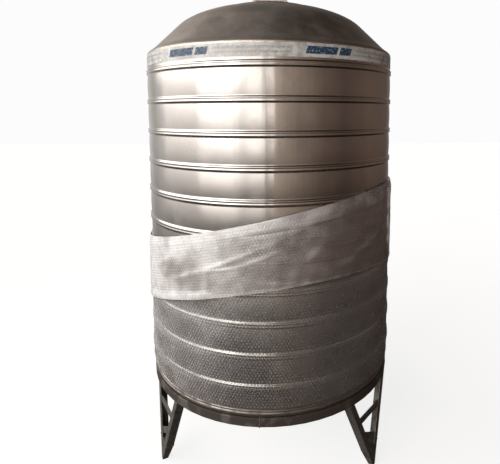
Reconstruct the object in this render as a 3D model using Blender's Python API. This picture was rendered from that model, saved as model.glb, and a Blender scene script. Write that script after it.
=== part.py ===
"""Insulated stainless steel water tank on a three-legged stand.

Metres, +Z up. The origin is on the floor, on the tank's axis. The side that is
seen first faces -Y. Leg bearings are counted from -Y towards +X.
"""

import math

import bmesh
import bpy
from mathutils import Matrix, Vector

# Clearance that neighbouring pieces keep from each other.
GAP = 0.0003

# The jacket: a plain cylinder with swaged beads, built in two courses.
JACKET_RADIUS = 0.5335
SKIN = 0.001
BEAD_HEIGHT = 0.005
BEAD_WIDTH = 0.026
BEAD_CREST = 0.008
JACKET_BOTTOM = 0.4325
COURSE_JOINT = 1.0275
SHOULDER = 1.744
LOWER_BEADS = [0.5161, 0.6329, 0.7497, 0.8665, 0.9833]
UPPER_BEADS = [1.0718, 1.1920, 1.3122, 1.4324, 1.5526, 1.6728]
SIDES = 48

# The base rim's section: outward from the jacket, and up from the stand's ring.
RIM_SHEET = 0.0012
RIM_SECTION = [
    (0.0040, 0.0290),
    (0.0040, 0.0255),
    (0.0010, 0.0220),
    (0.0040, 0.0180),
    (0.0040, 0.0130),
    (-0.0060, 0.0),
    (-0.0480, 0.0),
    (-0.0480, RIM_SHEET),
    (-0.0080, RIM_SHEET),
    (-RIM_SHEET, 0.0130),
]
PLATE_INSET = 0.0095
PLATE_LIFT = 0.0015

# The dome: a knuckle, a cone at about 45 degrees, and a crown that rounds off.
KNUCKLE = [(JACKET_RADIUS, SHOULDER + 0.004), (0.5275, 1.755), (0.510, 1.767)]
CONE_RADIUS = 0.402
CONE_TOP = 1.873
ROUNDING = [(0.384, 1.887), (0.362, 1.900), (0.340, 1.911), (0.310, 1.923)]
CROWN_RADIUS = 0.280
CROWN_TOP = 1.9335
CROWN_EDGE = (0.189, 1.9465)

# The wall sandwich. The inner vessel has a plain sharp shoulder, set lower.
FOAM = 0.040
VESSEL_SHOULDER = SHOULDER - 0.030
VESSEL_CONE_FOOT = SHOULDER + 0.0035
VESSEL_CROWN_EDGE = (0.169, 1.956)
FOAM_WALL_PIECES = 8
FOAM_TOP_PIECES = 4
BASE_TOP = 0.4028
VESSEL_FLOOR = BASE_TOP + FOAM + 2 * GAP
FLOOR_CLEARANCE = 0.0006
FLOOR_CHAMFER = (0.0078, 0.0122)

# The manhole.
NECK_RADIUS = 0.209
NECK_WALL = 0.002
NECK_BOTTOM = 1.896
NECK_TOP = 1.9515
LID_RADIUS = 0.2135
LID_SKIRT_BOTTOM = 1.9460
LID_SHOULDER = 0.004
LID_EDGE = 1.9545
LID_RISE = [(0.150, 1.9680), (0.080, 1.9795), (0.020, 1.9840), (0.0, 1.9840)]
LID_SHEET = 0.0015
HANDLE_FOOT = 1.9808
HANDLE_HALF = 0.080
HANDLE_RISE = 0.036
HANDLE_BAR = 0.012
HANDLE_DEPTH = 0.016
HANDLE_CORNER = 0.012

# Tape and bubble wrap.
TAPE_WIDTH = 0.048
TAPE_BOTTOM = 1.694
TAPE_THICKNESS = 0.0006
WRAP_INNER = JACKET_RADIUS + BEAD_HEIGHT + 0.0004
WRAP_THICKNESS = 0.003
WRAP_RIDGE = 0.002
WRAP_BOTTOM = 0.436
WRAP_TOP = 0.930
BAND_INNER = WRAP_INNER + WRAP_THICKNESS + WRAP_RIDGE + 0.0005
BAND_THICKNESS = 0.0035
# Edge height of the band: its middle, and its swing towards -Y and towards +X.
BAND_UPPER_EDGE = (1.0915, 0.0461, 0.1217)
BAND_LOWER_EDGE = (0.7617, 0.1211, 0.0785)

# Pipe sockets.
SOCKET_RADIUS = 0.021
SOCKET_BORE = 0.0135
OUTLET_BOTTOM = 0.378
INLET_REACH = 0.350
INLET_BEARING = 135.0
INLET_BOTTOM = 1.840
INLET_TOP = 1.938
CUTTER_REACH = 0.1

# The stand.
LEG_BEARINGS = {"left": -65.0, "right": 55.0, "rear": 175.0}
RING_RADIUS = 0.5375
RING_SECTION = 0.035
RING_TOP = 0.400 - GAP
RING_FACETS = 20
FOOT_HALF_WIDTH = 0.008
LEG_SPREAD = 0.500
FOOT_FRONT = 0.532
LEG_TOP_BEARING = 20.5
FOOT_HEIGHT = 0.085
FOOT_TIP_DEPTH = 0.024
FOOT_DEPTH = 0.036
ANGLE_WIDTH = 0.035
ANGLE_THICKNESS = 0.004
STRUT_WIDTH = 0.026
STRUT_THICKNESS = 0.005
# Heights at which a strut meets the outer arm and the inner arm of its leg.
STRUT_HEIGHTS = {"strut_upper": (0.220, 0.250), "strut_lower": (0.106, 0.175)}
SPIDER_BAR = 0.030
SPIDER_CLEARANCE = 0.0016
SPIDER_OVERLAP = 0.010
HUB_RADIUS = 0.060
HUB_HOLE = 0.030

STAINLESS = ("stainless_sheet", (0.62, 0.59, 0.55), 0.28, 1.0)
DULL_STEEL = ("dull_steel", (0.20, 0.18, 0.16), 0.50, 1.0)
FOAM_YELLOW = ("foam", (0.72, 0.62, 0.38), 0.90, 0.0)
FILM = ("bubble_film", (0.50, 0.48, 0.47), 0.45, 0.0)
TAPE = ("packing_tape", (0.78, 0.76, 0.72), 0.35, 0.0)


def material(kind):
    name, colour, roughness, metallic = kind
    made = bpy.data.materials.get(name)
    if made is None:
        made = bpy.data.materials.new(name)
        made.use_nodes = True
        shader = made.node_tree.nodes["Principled BSDF"]
        shader.inputs["Base Color"].default_value = (*colour, 1.0)
        shader.inputs["Roughness"].default_value = roughness
        shader.inputs["Metallic"].default_value = metallic
    return made


def add_object(name, mesh, kind, turn=0.0):
    """Links a new object, turned about the tank's axis by a bearing in degrees."""
    if not mesh.materials:
        mesh.materials.append(material(kind))
    made = bpy.data.objects.new(name, mesh)
    made.rotation_euler.z = math.radians(turn)
    bpy.context.scene.collection.objects.link(made)
    return made


def mesh_from(bm, name, smooth=True):
    bmesh.ops.recalc_face_normals(bm, faces=bm.faces)
    mesh = bpy.data.meshes.new(name)
    bm.to_mesh(mesh)
    bm.free()
    if smooth:
        mesh.shade_smooth()
        mesh.set_sharp_from_angle(angle=math.radians(30))
    return mesh


def profile_face(bm, profile):
    corners = [bm.verts.new((radius, 0.0, height)) for radius, height in profile]
    return bm.faces.new(corners)


def turned(name, profile, kind):
    """A closed outline of (radius, height) points spun all the way round."""
    bm = bmesh.new()
    face = profile_face(bm, profile)
    on_axis = [edge for edge in face.edges if not any(v.co.x for v in edge.verts)]
    bmesh.ops.delete(bm, geom=[face], context="FACES_ONLY")
    bmesh.ops.delete(bm, geom=on_axis, context="EDGES")
    edges = list(bm.edges)
    bmesh.ops.spin(
        bm,
        geom=edges,
        axis=(0, 0, 1),
        angle=2 * math.pi,
        steps=SIDES,
        use_merge=True,
    )
    bmesh.ops.remove_doubles(bm, verts=bm.verts, dist=0.00001)
    return add_object(name, mesh_from(bm, name), kind)


def disc(name, outer, inner, bottom, top, kind):
    """A flat round plate with a hole in its middle."""
    profile = [(outer, top), (outer, bottom), (inner, bottom), (inner, top)]
    return turned(name, profile, kind)


def sector(name, profile, sweep, steps):
    """A closed outline spun part of the way round, with both ends closed."""
    bm = bmesh.new()
    face = profile_face(bm, profile)
    bmesh.ops.spin(
        bm,
        geom=[face],
        axis=(0, 0, 1),
        angle=math.radians(sweep),
        steps=steps,
    )
    return mesh_from(bm, name)


def offset(path, distance):
    """An open path of (radius, height) points moved inwards, with mitred corners."""
    points = [Vector(point) for point in path]
    normals = []
    for start, end in zip(points, points[1:]):
        along = (end - start).normalized()
        normals.append(Vector((-along.y, along.x)))
    moved = [points[0] + normals[0] * distance]
    for point, before, after in zip(points[1:], normals, normals[1:]):
        moved.append(point + (before + after) * distance / (1 + before.dot(after)))
    moved.append(points[-1] + normals[-1] * distance)
    return [(point.x, point.y) for point in moved]


def cut_at_radius(path, radius):
    """The part of an inward-running path that lies outside a radius."""
    kept = []
    for (r0, z0), (r1, z1) in zip(path, path[1:]):
        kept.append((r0, z0))
        if r1 <= radius:
            share = (r0 - radius) / (r0 - r1)
            kept.append((radius, z0 + (z1 - z0) * share))
            return kept
    return kept


def bead(height):
    """The four corners of one swaged bead, from its top to its bottom."""
    crest = JACKET_RADIUS + BEAD_HEIGHT
    return [
        (JACKET_RADIUS, height + BEAD_WIDTH / 2),
        (crest, height + BEAD_CREST / 2),
        (crest, height - BEAD_CREST / 2),
        (JACKET_RADIUS, height - BEAD_WIDTH / 2),
    ]


def jacket_course(name, bottom, top, beads):
    outline = [(JACKET_RADIUS, top)]
    for height in reversed(beads):
        outline += bead(height)
    outline += [(JACKET_RADIUS, bottom)]
    outline += [(JACKET_RADIUS - SKIN, bottom), (JACKET_RADIUS - SKIN, top)]
    return turned(name, outline, STAINLESS)


DOME_PATH = [
    (JACKET_RADIUS, SHOULDER),
    *KNUCKLE,
    (CONE_RADIUS, CONE_TOP),
    *ROUNDING,
    (CROWN_RADIUS, CROWN_TOP),
    CROWN_EDGE,
]

VESSEL_PATH = [
    (JACKET_RADIUS, VESSEL_SHOULDER),
    (JACKET_RADIUS, VESSEL_CONE_FOOT),
    (CONE_RADIUS, CONE_TOP),
    (CROWN_RADIUS, CROWN_TOP),
    VESSEL_CROWN_EDGE,
]


def between(outer_path, outer_depth, inner_path, inner_depth):
    """The outline between two paths, each at a depth, out to the manhole neck."""
    hole = NECK_RADIUS + GAP
    outside = cut_at_radius(offset(outer_path, outer_depth), hole)
    inside = cut_at_radius(offset(inner_path, inner_depth), hole)
    return inside + list(reversed(outside))


def cylinder_object(name, radius, bottom, top, sides, kind, centre=(0.0, 0.0)):
    bm = bmesh.new()
    bmesh.ops.create_cone(
        bm,
        cap_ends=True,
        segments=sides,
        radius1=radius,
        radius2=radius,
        depth=top - bottom,
    )
    place = Vector((centre[0], centre[1], (top + bottom) / 2))
    bmesh.ops.translate(bm, verts=bm.verts, vec=place)
    return add_object(name, mesh_from(bm, name), kind)


def as_cutter(made):
    made.hide_render = True
    made.display_type = "WIRE"
    return made


def boolean(target, other, operation):
    modifier = target.modifiers.new(operation.lower(), "BOOLEAN")
    modifier.operation = operation
    modifier.solver = "EXACT"
    modifier.object = other


def jacket():
    jacket_course("shell_upper", COURSE_JOINT, SHOULDER - GAP, UPPER_BEADS)
    jacket_course("shell_lower", JACKET_BOTTOM, COURSE_JOINT - GAP, LOWER_BEADS)
    base = RING_TOP + GAP
    section = [(JACKET_RADIUS + out, base + up) for out, up in RIM_SECTION]
    top = JACKET_BOTTOM - GAP
    ends = [(JACKET_RADIUS - RIM_SHEET, top), (JACKET_RADIUS, top)]
    turned("base_rim", section + ends, STAINLESS)
    hole = SOCKET_RADIUS + GAP
    edge = JACKET_RADIUS - PLATE_INSET
    disc("base_plate", edge, hole, base + PLATE_LIFT, BASE_TOP - GAP, STAINLESS)
    return turned("dome", between(DOME_PATH, 0.0, DOME_PATH, SKIN), STAINLESS)


def insulation():
    hole = SOCKET_RADIUS + GAP
    outer = JACKET_RADIUS - SKIN - GAP
    inner = outer - FOAM
    top = BASE_TOP + FOAM
    floor_edge = outer - FLOOR_CLEARANCE
    inset, step = FLOOR_CHAMFER
    floor_outline = [
        (floor_edge, top),
        (floor_edge, BASE_TOP + step),
        (outer - inset, BASE_TOP),
        (hole, BASE_TOP),
        (hole, top),
    ]
    turned("foam_bottom", floor_outline, FOAM_YELLOW)
    wall = [
        (outer, SHOULDER - GAP),
        (outer, top + GAP),
        (inner, top + GAP),
        (inner, VESSEL_SHOULDER - GAP),
    ]
    sweep = 360.0 / FOAM_WALL_PIECES
    slack = math.degrees(GAP / outer)
    mesh = sector("foam_wall", wall, sweep - slack, SIDES // FOAM_WALL_PIECES)
    for index in range(FOAM_WALL_PIECES):
        add_object(f"foam_wall_{index + 1}", mesh, FOAM_YELLOW, sweep * index)
    under_skin = SKIN + GAP
    sweep = 360.0 / FOAM_TOP_PIECES
    mesh = sector(
        "foam_top",
        between(DOME_PATH, under_skin, VESSEL_PATH, under_skin + FOAM),
        sweep - slack,
        SIDES // FOAM_TOP_PIECES,
    )
    made = []
    for index in range(FOAM_TOP_PIECES):
        name = f"foam_top_{index + 1}"
        made.append(add_object(name, mesh, FOAM_YELLOW, sweep * index))
    return made[0]


def inner_vessel():
    outer = JACKET_RADIUS - SKIN - FOAM - 2 * GAP
    wall = [
        (outer, VESSEL_SHOULDER - GAP),
        (outer, VESSEL_FLOOR + SKIN + GAP),
        (outer - SKIN, VESSEL_FLOOR + SKIN + GAP),
        (outer - SKIN, VESSEL_SHOULDER - GAP),
    ]
    turned("inner_wall", wall, STAINLESS)
    hole = SOCKET_RADIUS + GAP
    floor_top = VESSEL_FLOOR + SKIN
    disc("inner_floor", outer, hole, VESSEL_FLOOR, floor_top, STAINLESS)
    depth = SKIN + FOAM + 2 * GAP
    top = between(VESSEL_PATH, depth, VESSEL_PATH, depth + SKIN)
    return turned("inner_top", top, STAINLESS)


def manhole():
    bore = NECK_RADIUS - NECK_WALL
    disc("manhole_neck", NECK_RADIUS, bore, NECK_BOTTOM, NECK_TOP, STAINLESS)
    outside = [
        (LID_RADIUS, LID_SKIRT_BOTTOM),
        (LID_RADIUS, LID_EDGE - LID_SHOULDER),
        (LID_RADIUS - LID_SHOULDER, LID_EDGE),
        *LID_RISE,
    ]
    inside = offset(outside, LID_SHEET)
    turned("manhole_lid", outside + inside[::-1], STAINLESS)


def handle_half_outline(half, top, corner):
    """One side of the handle's arch, from its foot to the middle of its bar."""
    return [(half, HANDLE_FOOT), (half, top - corner), (half - corner, top)]


def lid_handle():
    """A flat bar bent to a low arch and welded to the lid."""
    top = HANDLE_FOOT + HANDLE_RISE
    outside = handle_half_outline(HANDLE_HALF, top, HANDLE_CORNER)
    inner_corner = HANDLE_CORNER - HANDLE_BAR / 2
    inside = handle_half_outline(HANDLE_HALF - HANDLE_BAR, top - HANDLE_BAR, inner_corner)
    right = outside[::-1]
    left = [(-across, height) for across, height in outside]
    right_inside = inside
    left_inside = [(-across, height) for across, height in inside[::-1]]
    outline = left + right + right_inside + left_inside
    bm = bmesh.new()
    corners = [bm.verts.new((x, -HANDLE_DEPTH / 2, z)) for x, z in outline]
    extruded = bmesh.ops.extrude_face_region(bm, geom=[bm.faces.new(corners)])
    moved = [item for item in extruded["geom"] if isinstance(item, bmesh.types.BMVert)]
    bmesh.ops.translate(bm, verts=moved, vec=(0, HANDLE_DEPTH, 0))
    add_object("lid_handle", mesh_from(bm, "lid_handle"), STAINLESS)


def tape_and_wrap():
    inner = JACKET_RADIUS + GAP
    outer = inner + TAPE_THICKNESS
    disc("tape_band", outer, inner, TAPE_BOTTOM, TAPE_BOTTOM + TAPE_WIDTH, TAPE)
    outline = [(WRAP_INNER + WRAP_THICKNESS, WRAP_TOP)]
    for height in reversed(LOWER_BEADS[:-1]):
        outline += [
            (WRAP_INNER + WRAP_THICKNESS, height + BEAD_WIDTH),
            (WRAP_INNER + WRAP_THICKNESS + WRAP_RIDGE, height),
            (WRAP_INNER + WRAP_THICKNESS, height - BEAD_WIDTH),
        ]
    outline += [
        (WRAP_INNER + WRAP_THICKNESS, WRAP_BOTTOM),
        (WRAP_INNER, WRAP_BOTTOM),
        (WRAP_INNER, WRAP_TOP),
    ]
    turned("wrap_lower", outline, FILM)


def band_edge(shape, bearing):
    middle, ahead, across = shape
    return middle + ahead * math.cos(bearing) + across * math.sin(bearing)


def wrap_band():
    """The loose last turn of the wrap, which climbs from the left to the right."""
    bm = bmesh.new()
    rings = []
    for index in range(SIDES):
        bearing = 2 * math.pi * index / SIDES
        low = band_edge(BAND_LOWER_EDGE, bearing)
        high = band_edge(BAND_UPPER_EDGE, bearing)
        outer = BAND_INNER + BAND_THICKNESS
        corners = ((BAND_INNER, low), (outer, low), (outer, high), (BAND_INNER, high))
        across, ahead = math.sin(bearing), -math.cos(bearing)
        rings.append([bm.verts.new((r * across, r * ahead, z)) for r, z in corners])
    for first, second in zip(rings, rings[1:] + rings[:1]):
        for corner in range(4):
            following = (corner + 1) % 4
            bm.faces.new(
                (first[corner], second[corner], second[following], first[following])
            )
    add_object("wrap_band", mesh_from(bm, "wrap_band"), FILM)


def sockets(layers):
    disc(
        "outlet_socket",
        SOCKET_RADIUS,
        SOCKET_BORE,
        OUTLET_BOTTOM,
        VESSEL_FLOOR + SKIN,
        STAINLESS,
    )
    inlet = disc(
        "inlet_socket", SOCKET_RADIUS, SOCKET_BORE, INLET_BOTTOM, INLET_TOP, STAINLESS
    )
    bearing = math.radians(INLET_BEARING)
    across, ahead = math.sin(bearing), -math.cos(bearing)
    inlet.location = (INLET_REACH * across, INLET_REACH * ahead, 0.0)
    cutter = cylinder_object(
        "inlet_cutter",
        SOCKET_RADIUS + 2 * GAP,
        INLET_BOTTOM - CUTTER_REACH,
        INLET_TOP + CUTTER_REACH,
        SIDES,
        STAINLESS,
    )
    cutter.location = inlet.location
    as_cutter(cutter)
    for layer in layers:
        boolean(layer, cutter, "DIFFERENCE")


def leg_half_width(height):
    return FOOT_HALF_WIDTH + LEG_SPREAD * height


def leg_front(height):
    """How far the leg's front plane is from the tank's axis at a height."""
    top = RING_TOP - RING_SECTION
    reach = (RING_RADIUS - GAP) * math.cos(math.radians(LEG_TOP_BEARING))
    return FOOT_FRONT + (reach - FOOT_FRONT) * height / top


def loft(name, sections):
    """A solid through level outlines, each given as (points, height)."""
    bm = bmesh.new()
    rings = []
    for points, height in sections:
        rings.append([bm.verts.new((x, y, height)) for x, y in points])
    bm.faces.new(rings[0])
    bm.faces.new(rings[-1])
    for low, high in zip(rings, rings[1:]):
        count = len(low)
        for index in range(count):
            following = (index + 1) % count
            bm.faces.new((low[index], low[following], high[following], high[index]))
    return mesh_from(bm, name, smooth=False)


def angle_outline(side, height):
    """An angle bar's level outline: one flange in front, one on the outer edge."""
    edge, front = leg_half_width(height), leg_front(height)
    thin, wide = ANGLE_THICKNESS, ANGLE_WIDTH
    corners = [
        (edge, front),
        (edge, front - wide),
        (edge - thin, front - wide),
        (edge - thin, front - thin),
        (edge - wide, front - thin),
        (edge - wide, front),
    ]
    return [(side * across, -reach) for across, reach in corners]


def arm_mesh(side):
    heights = (FOOT_HEIGHT + GAP, RING_TOP - RING_SECTION - GAP)
    return loft("arm", [(angle_outline(side, height), height) for height in heights])


def foot_mesh():
    sections = []
    for height, depth in ((0.0, FOOT_TIP_DEPTH), (FOOT_HEIGHT, FOOT_DEPTH)):
        half, front = leg_half_width(height), leg_front(height)
        back = front - depth
        outline = [(-half, -front), (half, -front), (half, -back), (-half, -back)]
        sections.append((outline, height))
    return loft("foot", sections)


def strut_mesh(name, start_side, start_height, end_side, end_height):
    """A flat bar welded behind the front flanges of both arms."""
    ends = []
    inset = ANGLE_WIDTH / 2 + ANGLE_THICKNESS
    for side, height in ((start_side, start_height), (end_side, end_height)):
        reach = leg_front(height) - ANGLE_THICKNESS - GAP
        across = side * (leg_half_width(height) - inset)
        ends.append(Vector((across, -reach, height)))
    along = (ends[1] - ends[0]).normalized()
    slope = leg_front(1.0) - leg_front(0.0)
    inward = Vector((0.0, 1.0, slope)).normalized()
    wide = along.cross(inward).normalized() * STRUT_WIDTH / 2
    deep = inward * STRUT_THICKNESS
    bm = bmesh.new()
    corners = []
    for end in ends:
        for offset_to in (wide, -wide, -wide + deep, wide + deep):
            corners.append(bm.verts.new(end + offset_to))
    bmesh.ops.convex_hull(bm, input=corners)
    return mesh_from(bm, name, smooth=False)


def stand():
    arms = {"arm_a": arm_mesh(-1), "arm_b": arm_mesh(1)}
    foot = foot_mesh()
    ring = [
        (RING_RADIUS, RING_TOP),
        (RING_RADIUS, RING_TOP - RING_SECTION),
        (RING_RADIUS - RING_SECTION, RING_TOP - RING_SECTION),
        (RING_RADIUS - RING_SECTION, RING_TOP),
    ]
    third = 120.0
    slack = math.degrees(GAP / RING_RADIUS)
    arc = sector("ring_arc", ring, third - slack, RING_FACETS)
    quarter_turn = 90.0
    for leg, bearing in LEG_BEARINGS.items():
        start = bearing - third / 2 - quarter_turn
        add_object(f"ring_{leg}", arc, DULL_STEEL, start)
        for arm, mesh in arms.items():
            add_object(f"{leg}_{arm}", mesh, DULL_STEEL, bearing)
        add_object(f"{leg}_foot", foot, DULL_STEEL, bearing)
        outer = 1 if leg == "right" else -1
        for strut, (outer_height, inner_height) in STRUT_HEIGHTS.items():
            name = f"{leg}_{strut}"
            mesh = strut_mesh(name, outer, outer_height, -outer, inner_height)
            add_object(name, mesh, DULL_STEEL, bearing)


def spider():
    """Three bars between the ring and a hub, which carry the tank's floor."""
    bottom = RING_TOP - SPIDER_BAR
    hub = cylinder_object(
        "ring_spider", HUB_RADIUS, bottom, RING_TOP, SIDES, DULL_STEEL
    )
    inner_edge = RING_RADIUS - RING_SECTION - SPIDER_CLEARANCE
    for leg, bearing in LEG_BEARINGS.items():
        bm = bmesh.new()
        length = inner_edge - HUB_HOLE - SPIDER_OVERLAP
        size = Matrix.Diagonal((SPIDER_BAR, length, SPIDER_BAR, 1.0))
        bmesh.ops.create_cube(bm, size=1.0, matrix=size)
        middle = Vector((0.0, -(inner_edge - length / 2), bottom + SPIDER_BAR / 2))
        bmesh.ops.translate(bm, verts=bm.verts, vec=middle)
        name = f"spider_bar_{leg}"
        bar = add_object(name, mesh_from(bm, name, False), DULL_STEEL, bearing)
        boolean(hub, as_cutter(bar), "UNION")
    hole = cylinder_object(
        "hub_hole",
        HUB_HOLE,
        bottom - CUTTER_REACH,
        RING_TOP + CUTTER_REACH,
        SIDES,
        DULL_STEEL,
    )
    boolean(hub, as_cutter(hole), "DIFFERENCE")


for existing in list(bpy.data.objects):
    bpy.data.objects.remove(existing, do_unlink=True)

dome = jacket()
rear_foam = insulation()
vessel_top = inner_vessel()
manhole()
lid_handle()
tape_and_wrap()
wrap_band()
sockets((dome, rear_foam, vessel_top))
stand()
spider()
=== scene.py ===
import math

import bmesh
import bpy
import numpy as np
from mathutils import Matrix, Vector


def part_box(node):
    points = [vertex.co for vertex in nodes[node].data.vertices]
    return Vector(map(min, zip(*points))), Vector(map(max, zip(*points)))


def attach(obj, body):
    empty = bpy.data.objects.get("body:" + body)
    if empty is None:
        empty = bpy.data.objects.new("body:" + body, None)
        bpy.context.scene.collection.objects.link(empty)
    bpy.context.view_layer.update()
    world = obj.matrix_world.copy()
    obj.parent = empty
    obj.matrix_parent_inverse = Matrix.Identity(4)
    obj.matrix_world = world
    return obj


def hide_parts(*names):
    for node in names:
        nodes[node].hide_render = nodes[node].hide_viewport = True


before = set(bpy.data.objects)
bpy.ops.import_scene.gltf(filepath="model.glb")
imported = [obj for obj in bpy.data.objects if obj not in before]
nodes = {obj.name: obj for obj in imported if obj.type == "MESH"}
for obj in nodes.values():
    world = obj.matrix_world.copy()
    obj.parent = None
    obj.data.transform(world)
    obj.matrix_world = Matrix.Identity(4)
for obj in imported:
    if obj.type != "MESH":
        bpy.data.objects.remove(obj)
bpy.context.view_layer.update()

scene = bpy.context.scene
scene.view_settings.view_transform = "Standard"

# The studio: a pale floor and soft light. A broad opening on the left and a dim brown room
# on the right are what the polished jacket mirrors. The camera stands at eye height, about
# 1.5 m in front of the jacket.
FLOOR_SIZE = 40.0
EYE = Vector((0.0, -2.02296, 1.50136))
LENS, SENSOR = 31.384, 36.0
YAW, PITCH, ROLL = 2.82, 5.53, -0.05
SHIFT_ACROSS, SHIFT_UP = -0.0845, -0.1518
PALE = (0.975, 0.975, 0.978, 1.0)
FLOOR_GREY, FLOOR_GLOW = (0.40, 0.40, 0.40, 1.0), 0.765
# Bearing in degrees from -Y towards +X, and the colour of the room there.
ROOM = [
    (-180, (0.40, 0.39, 0.39)),
    (-150, (0.68, 0.66, 0.64)),
    (-132, (0.50, 0.485, 0.47)),
    (-118, (0.66, 0.645, 0.63)),
    (-108, (0.46, 0.44, 0.43)),
    (-60, (0.46, 0.43, 0.41)),
    (-25, (0.30, 0.27, 0.25)),
    (-2, (0.26, 0.22, 0.19)),
    (5, (0.58, 0.48, 0.40)),
    (25, (0.34, 0.27, 0.23)),
    (46, (0.17, 0.125, 0.10)),
    (69, (0.10, 0.070, 0.062)),
    (102, (0.15, 0.105, 0.082)),
    (140, (0.12, 0.095, 0.082)),
    (180, (0.40, 0.39, 0.39)),
]
# Openings that let the light in: left and right bearing, the sill's slope at each, how
# softly it starts, the head's slope, and how bright the opening is.
OPENINGS = [
    (-112, -66, -0.13, -0.13, 0.13, 0.62, 0.75),
    (-66, -29, -0.10, -0.15, 0.13, 0.62, 1.8),
    (-29, -21, -0.12, -0.12, 0.12, 0.62, 1.1),
    (-21, -5, -0.11, -0.11, 0.09, 0.62, 1.8),
    (-1.5, 2.5, -0.06, -0.06, 0.06, 0.40, 1.9),
    (-126, -24, 0.15, 0.15, 0.07, 0.62, 2.4),
    (165, 195, -0.10, -0.10, 0.06, 0.22, 1.3),
]
OPENING_TINT = (1.0, 0.975, 0.95)
# How the room fades towards the ceiling and the ground: the slopes where the fade starts
# and ends, and how bright the room is at each.
CEILING = (0.15, 0.75, 1.0, 0.24)
GROUND = (-0.50, -0.02, 0.10, 1.0)


def feed(tree, socket, value):
    """Links a socket to a value that another node puts out, or sets it."""
    if isinstance(value, bpy.types.NodeSocket):
        tree.links.new(value, socket)
    else:
        socket.default_value = value


def add_node(tree, kind, inputs=None, **settings):
    made = tree.nodes.new(kind)
    for name, value in settings.items():
        setattr(made, name, value)
    for key, value in (inputs or {}).items():
        feed(tree, made.inputs[key], value)
    return made


def maths(tree, operation, *values):
    kind = "ShaderNodeMath"
    return add_node(tree, kind, dict(enumerate(values)), operation=operation).outputs[0]


def vectors(tree, operation, first, second):
    made = add_node(tree, "ShaderNodeVectorMath", {0: first}, operation=operation)
    feed(tree, made.inputs["Scale" if operation == "SCALE" else 1], second)
    return made.outputs[0]


def eased(tree, value, start, end, low=0.0, high=1.0, curve="SMOOTHSTEP"):
    """Runs from low at the start to high at the end."""
    limits = {"From Min": start, "From Max": end, "To Min": low, "To Max": high}
    made = add_node(tree, "ShaderNodeMapRange", {"Value": value, **limits}, interpolation_type=curve)
    return made.outputs["Result"]


def colour_ramp(tree, value, stops):
    """A ramp node from (place, colour) stops."""
    made = add_node(tree, "ShaderNodeValToRGB", {"Fac": value})
    ramp = made.color_ramp
    while len(ramp.elements) < len(stops):
        ramp.elements.new(0.5)
    for element, (place, colour) in zip(ramp.elements, stops):
        element.position = place
        element.color = (*colour, 1.0)
    return made.outputs["Color"]


def light_studio():
    world = bpy.data.worlds.new("studio")
    world.use_nodes = True
    tree = world.node_tree
    tree.nodes.clear()
    sight = add_node(tree, "ShaderNodeTexCoord").outputs["Generated"]
    axes = add_node(tree, "ShaderNodeSeparateXYZ", {0: sight}).outputs
    ahead = maths(tree, "MULTIPLY", axes["Y"], -1.0)
    radians = maths(tree, "ARCTAN2", axes["X"], ahead)
    bearing = maths(tree, "DEGREES", radians)
    slope = axes["Z"]
    stops = [((place + 180) / 360, colour) for place, colour in ROOM]
    share = eased(tree, bearing, -180.0, 180.0, curve="LINEAR")
    room = colour_ramp(tree, share, stops)
    ceiling = eased(tree, slope, *CEILING)
    ground = eased(tree, slope, *GROUND)
    light = vectors(tree, "SCALE", room, maths(tree, "MULTIPLY", ceiling, ground))
    for left, right, left_sill, right_sill, haze, head, strength in OPENINGS:
        turn = bearing
        if right > 180:
            past = maths(tree, "LESS_THAN", bearing, 0.0)
            turn = maths(tree, "MULTIPLY_ADD", past, 360.0, bearing)
        soft = min(6.0, (right - left) / 8)
        opened = eased(tree, turn, left - soft, left + soft)
        closed = eased(tree, turn, right + soft, right - soft)
        sill = eased(tree, turn, left, right, left_sill, right_sill, "LINEAR")
        above = eased(tree, maths(tree, "SUBTRACT", slope, sill), -haze, haze)
        below = eased(tree, slope, head + 0.2, head - 0.1)
        mask = maths(tree, "MULTIPLY", maths(tree, "MULTIPLY", opened, closed), above)
        mask = maths(tree, "MULTIPLY", mask, below)
        mask = maths(tree, "MULTIPLY", mask, strength)
        light = vectors(tree, "ADD", light, vectors(tree, "SCALE", OPENING_TINT, mask))
    lit = add_node(tree, "ShaderNodeBackground", {"Color": light})
    plain = add_node(tree, "ShaderNodeBackground", {"Color": PALE})
    seen = add_node(tree, "ShaderNodeLightPath").outputs["Is Camera Ray"]
    both = add_node(tree, "ShaderNodeMixShader", {0: seen, 1: lit.outputs[0]})
    feed(tree, both.inputs[2], plain.outputs[0])
    output = add_node(tree, "ShaderNodeOutputWorld")
    feed(tree, output.inputs["Surface"], both.outputs[0])
    scene.world = world


def new_material(name):
    """A material with an empty tree but for its Principled shader and output."""
    made = bpy.data.materials.new(name)
    made.use_nodes = True
    tree = made.node_tree
    return made, tree, tree.nodes["Principled BSDF"]


def mesh_from(bm, name):
    """A mesh from a bmesh, which is freed."""
    mesh = bpy.data.meshes.new(name)
    bm.to_mesh(mesh)
    bm.free()
    return mesh


def lay_floor():
    bm = bmesh.new()
    bmesh.ops.create_grid(bm, x_segments=8, y_segments=8, size=FLOOR_SIZE / 2)
    mesh = mesh_from(bm, "floor")
    floor = bpy.data.objects.new("floor", mesh)
    scene.collection.objects.link(floor)
    floor_paint, tree, shader = new_material("pale_floor")
    seen = add_node(tree, "ShaderNodeLightPath").outputs["Is Camera Ray"]
    feed(tree, shader.inputs["Alpha"], seen)
    shader.inputs["Base Color"].default_value = FLOOR_GREY
    shader.inputs["Roughness"].default_value = 0.9
    shader.inputs["Specular IOR Level"].default_value = 0.0
    shader.inputs["Emission Color"].default_value = (1.0, 1.0, 1.0, 1.0)
    shader.inputs["Emission Strength"].default_value = FLOOR_GLOW
    mesh.materials.append(floor_paint)


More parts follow.
